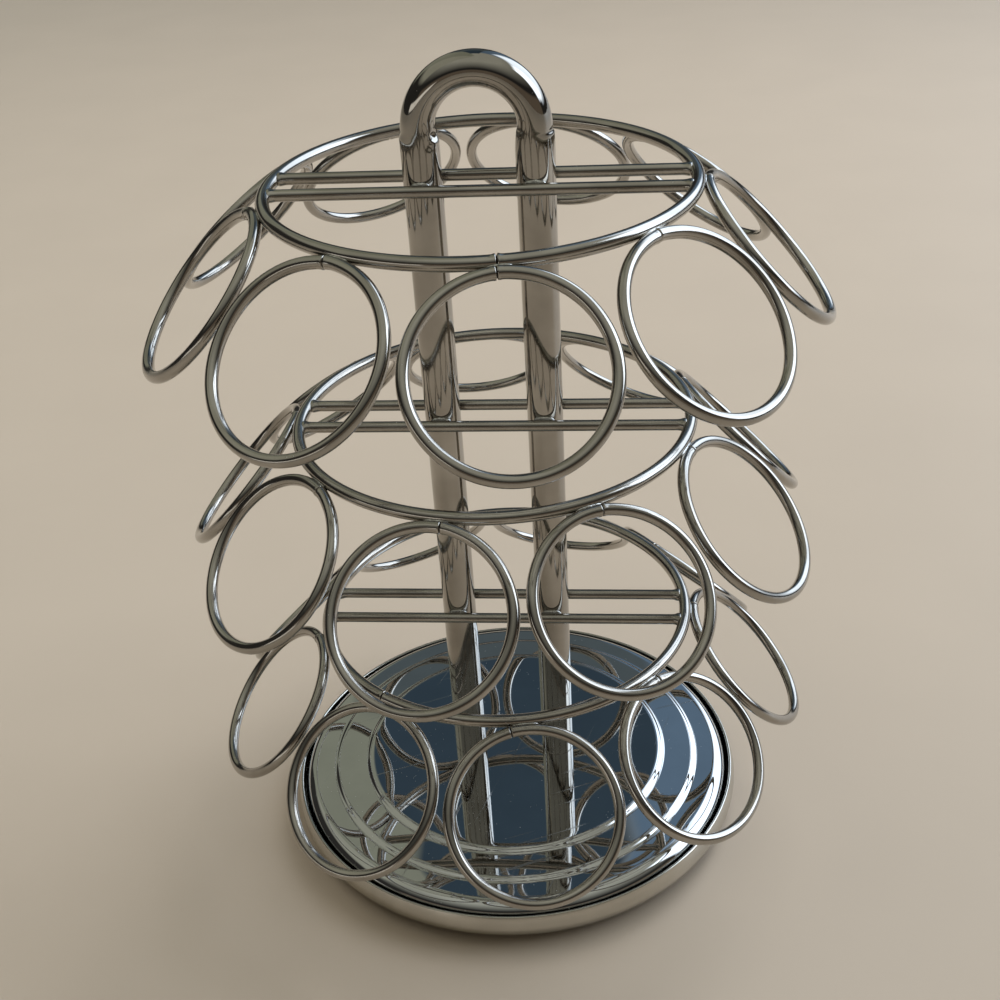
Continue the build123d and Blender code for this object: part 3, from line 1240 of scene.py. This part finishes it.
@dataclass
class Studio:
    """The floor, the surroundings that the chrome mirrors, the lamps and the camera."""

    floor_half: float = 30.0
    floor_tiles: int = 8
    floor_colour: Colour = (0.52, 0.435, 0.345)
    floor_shadow: float = 0.93
    floor_mottle: float = 14.0
    floor_rough: float = 0.48
    floor_shine: float = 0.3
    backdrop: Colour = (0.42, 0.375, 0.315)
    horizon: Colour = (0.245, 0.22, 0.18)
    horizon_soft: float = 26.0
    upper_tone: Colour = (0.50, 0.50, 0.43)
    lower_tone: Colour = (0.030, 0.029, 0.027)
    tone_edge: float = 25.0
    tone_soft: float = 40.0
    panels: Sequence[Panel] = (
        # The floor in front, then the dark and the pale wall on the left
        Panel(270.0, 2.0, 80.0, 12.0, 5.0, (0.17, 0.135, 0.10)),
        Panel(180.0, 10.0, 36.0, 12.0, 5.0, (0.035, 0.033, 0.030)),
        Panel(166.0, 58.0, 28.0, 24.0, 8.0, (0.42, 0.42, 0.34)),
        Panel(122.0, 47.0, 16.0, 34.0, 1.5, (0.31, 0.32, 0.25)),
        # The dim far wall
        Panel(70.0, 33.0, 16.0, 24.0, 2.0, (0.155, 0.235, 0.335)),
        Panel(97.0, 27.0, 10.0, 8.5, 2.0, (0.105, 0.13, 0.14)),
        Panel(96.5, 51.0, 9.0, 14.0, 1.0, (0.046, 0.072, 0.098)),
        # Windows on the right
        Panel(40.0, 31.0, 27.0, 17.0, 8.0, (2.3, 2.65, 3.1)),
        Panel(12.0, 32.0, 12.0, 16.0, 6.0, (3.3, 3.7, 4.2)),
        # A low strip of light on the left
        Panel(222.0, 5.0, 24.0, 2.5, 2.0, (1.2, 1.15, 1.05)),
    )
    lamps: Sequence[Softbox] = (
        Softbox("key_softbox", (0.5, 0.9, 1.3), 0.9, 13.0, (0.97, 0.98, 1.0)),
        Softbox("fill_softbox", (-0.9, 0.5, 1.4), 1.2, 5.0, (1.0, 0.95, 0.88)),
    )
    aim: tuple[float, float, float] = (-1.88 * MM, 0.0, 81.37 * MM)
    distance: float = 457.4 * MM
    azimuth: float = 6.99
    elevation: float = 35.27
    roll: float = -3.73
    lens: float = 48.76
    sensor: float = 36.0
    shift: float = 0.10

    def build(self) -> None:
        """Set up the studio."""
        self._floor()
        self._surroundings()
        for lamp in self.lamps:
            self._lamp(lamp)
        self._camera()
        self._picture_tone()

    def _floor(self) -> None:
        """The plain pale floor, with the faintest mottle."""
        size, tiles = self.floor_half, self.floor_tiles
        shell = Shell()
        steps = [-size + 2.0 * size * k / tiles for k in range(tiles + 1)]
        rows = [[shell.mesh.verts.new((x, y, 0.0)) for x in steps] for y in steps]
        for row, following in zip(rows, rows[1:]):
            for k in range(tiles):
                shell.mesh.faces.new((row[k], row[k + 1], following[k + 1], following[k]))
        floor = shell.piece("floor")
        floor.data.materials.append(self._floor_material())

    def _floor_material(self) -> bpy.types.Material:
        """The floor's matt finish."""
        made = bpy.data.materials.new("studio_floor")
        made.use_nodes = True
        net = Net(made.node_tree)
        mottle = net.noise(net.place(), self.floor_mottle, detail=4.0)
        deeper = tuple(channel * self.floor_shadow for channel in self.floor_colour)
        colour = net.blend(mottle, deeper, self.floor_colour)
        rough = self.floor_rough + mottle * 0.02
        shine = self.floor_shine
        net.surface({"Base Color": colour, "Roughness": rough, "Specular IOR Level": shine})
        return made

    def _surroundings(self) -> None:
        """A softly lit room for the chrome to mirror. The camera sees a plain backdrop."""
        world = bpy.data.worlds.new("studio_room")
        world.use_nodes = True
        bpy.context.scene.world = world
        net = Net(world.node_tree)
        way = net.node("ShaderNodeTexCoord", {}, {}, "Generated")
        x, y, z = (net.node("ShaderNodeSeparateXYZ", {}, {0: way}, k) for k in range(3))
        to_degrees = math.degrees(1.0)
        azimuth = net.node("ShaderNodeMath", {"operation": "ARCTAN2"}, {0: y, 1: x}) * to_degrees
        elevation = net.node("ShaderNodeMath", {"operation": "ARCSINE"}, {0: z}) * to_degrees
        tone = elevation.above(self.tone_edge, self.tone_soft)
        colour = net.blend(tone, self.lower_tone, self.upper_tone)
        for panel in self.panels:
            offset = {0: azimuth - panel.azimuth, 1: HALF_TURN, 2: -HALF_TURN}
            turned = net.node("ShaderNodeMath", {"operation": "WRAP"}, offset)
            beside = abs(turned).below(panel.half_width + panel.soft, panel.soft)
            raised = abs(elevation - panel.elevation)
            level = raised.below(panel.half_height + panel.soft, panel.soft)
            colour = net.blend(beside * level, colour, panel.colour)
        sky = elevation.above(0.0, self.horizon_soft)
        sweep = net.blend(sky, self.horizon, self.backdrop)
        seen = net.node("ShaderNodeLightPath", {}, {}, "Is Camera Ray")
        colour = net.blend(seen, colour, sweep)
        light = net.node("ShaderNodeBackground", {}, {"Color": colour, "Strength": 1.0})
        net.node("ShaderNodeOutputWorld", {}, {"Surface": light})

    def _lamp(self, softbox: Softbox) -> None:
        """Hang a softbox, which the chrome doesn't mirror.

        Args:
            softbox: the lamp.
        """
        data = bpy.data.lights.new(softbox.name, "AREA")
        data.size = softbox.size
        data.energy = softbox.power
        data.color = softbox.colour
        lamp = bpy.data.objects.new(softbox.name, data)
        bpy.context.scene.collection.objects.link(lamp)
        lamp.location = softbox.place
        towards = Vector(self.aim) - Vector(softbox.place)
        lamp.rotation_euler = towards.to_track_quat("-Z", "Y").to_euler()
        lamp.visible_glossy = False

    def _camera(self) -> None:
        """The camera, above and in front, held slightly tilted."""
        turn, rise = math.radians(self.azimuth), math.radians(self.elevation)
        across, ahead = math.sin(turn) * math.cos(rise), -math.cos(turn) * math.cos(rise)
        back = Vector((across, ahead, math.sin(rise)))
        level = (-back).cross(UP).normalized()
        upward = level.cross(-back)
        tilt = math.radians(self.roll)
        right = level * math.cos(tilt) + upward * math.sin(tilt)
        top = upward * math.cos(tilt) - level * math.sin(tilt)
        data = bpy.data.cameras.new("camera")
        data.sensor_width = self.sensor
        data.lens = self.lens
        data.shift_y = self.shift
        camera = bpy.data.objects.new("camera", data)
        bpy.context.scene.collection.objects.link(camera)
        pose = Matrix((right, top, back)).transposed().to_4x4()
        pose.translation = Vector(self.aim) + back * self.distance
        camera.matrix_world = pose
        bpy.context.scene.camera = camera

    @staticmethod
    def _picture_tone() -> None:
        """Keep the tones plain."""
        view = bpy.context.scene.view_settings
        view.view_transform = "Standard"
        view.exposure = 0.0


def tiers() -> list[WireTier]:
    """The three tiers. Joints are in degrees, from a ring's top and from a hoop's +X."""
    lower = (4.0, -7.0, 9.0, -5.0, 6.0, -10.0, -7.0, -10.0, 8.0)
    central = (-6.0, 7.0, 4.0, 7.0, 1.0, 5.0, 9.0, -5.0, 6.0)
    upper = (2.0, -8.0, 7.0, 6.0, -5.0, -16.0, -5.0, -2.0, 1.0)
    return [
        WireTier("lower", -124.5, lower, seed=11),
        WireTier("middle", 118.0, central, seed=23),
        WireTier("upper", -80.5, upper, seed=37),
    ]


def main() -> None:
    """Build the object's pieces and the studio."""
    logging.basicConfig(level=logging.INFO, format="%(message)s")
    for tier in tiers():
        tier.build()
    HandleTube().build()
    BaseCover().build()
    PackedParts(NODE_FINISHES).build()
    Studio().build()


if __name__ == "__main__":
    main()
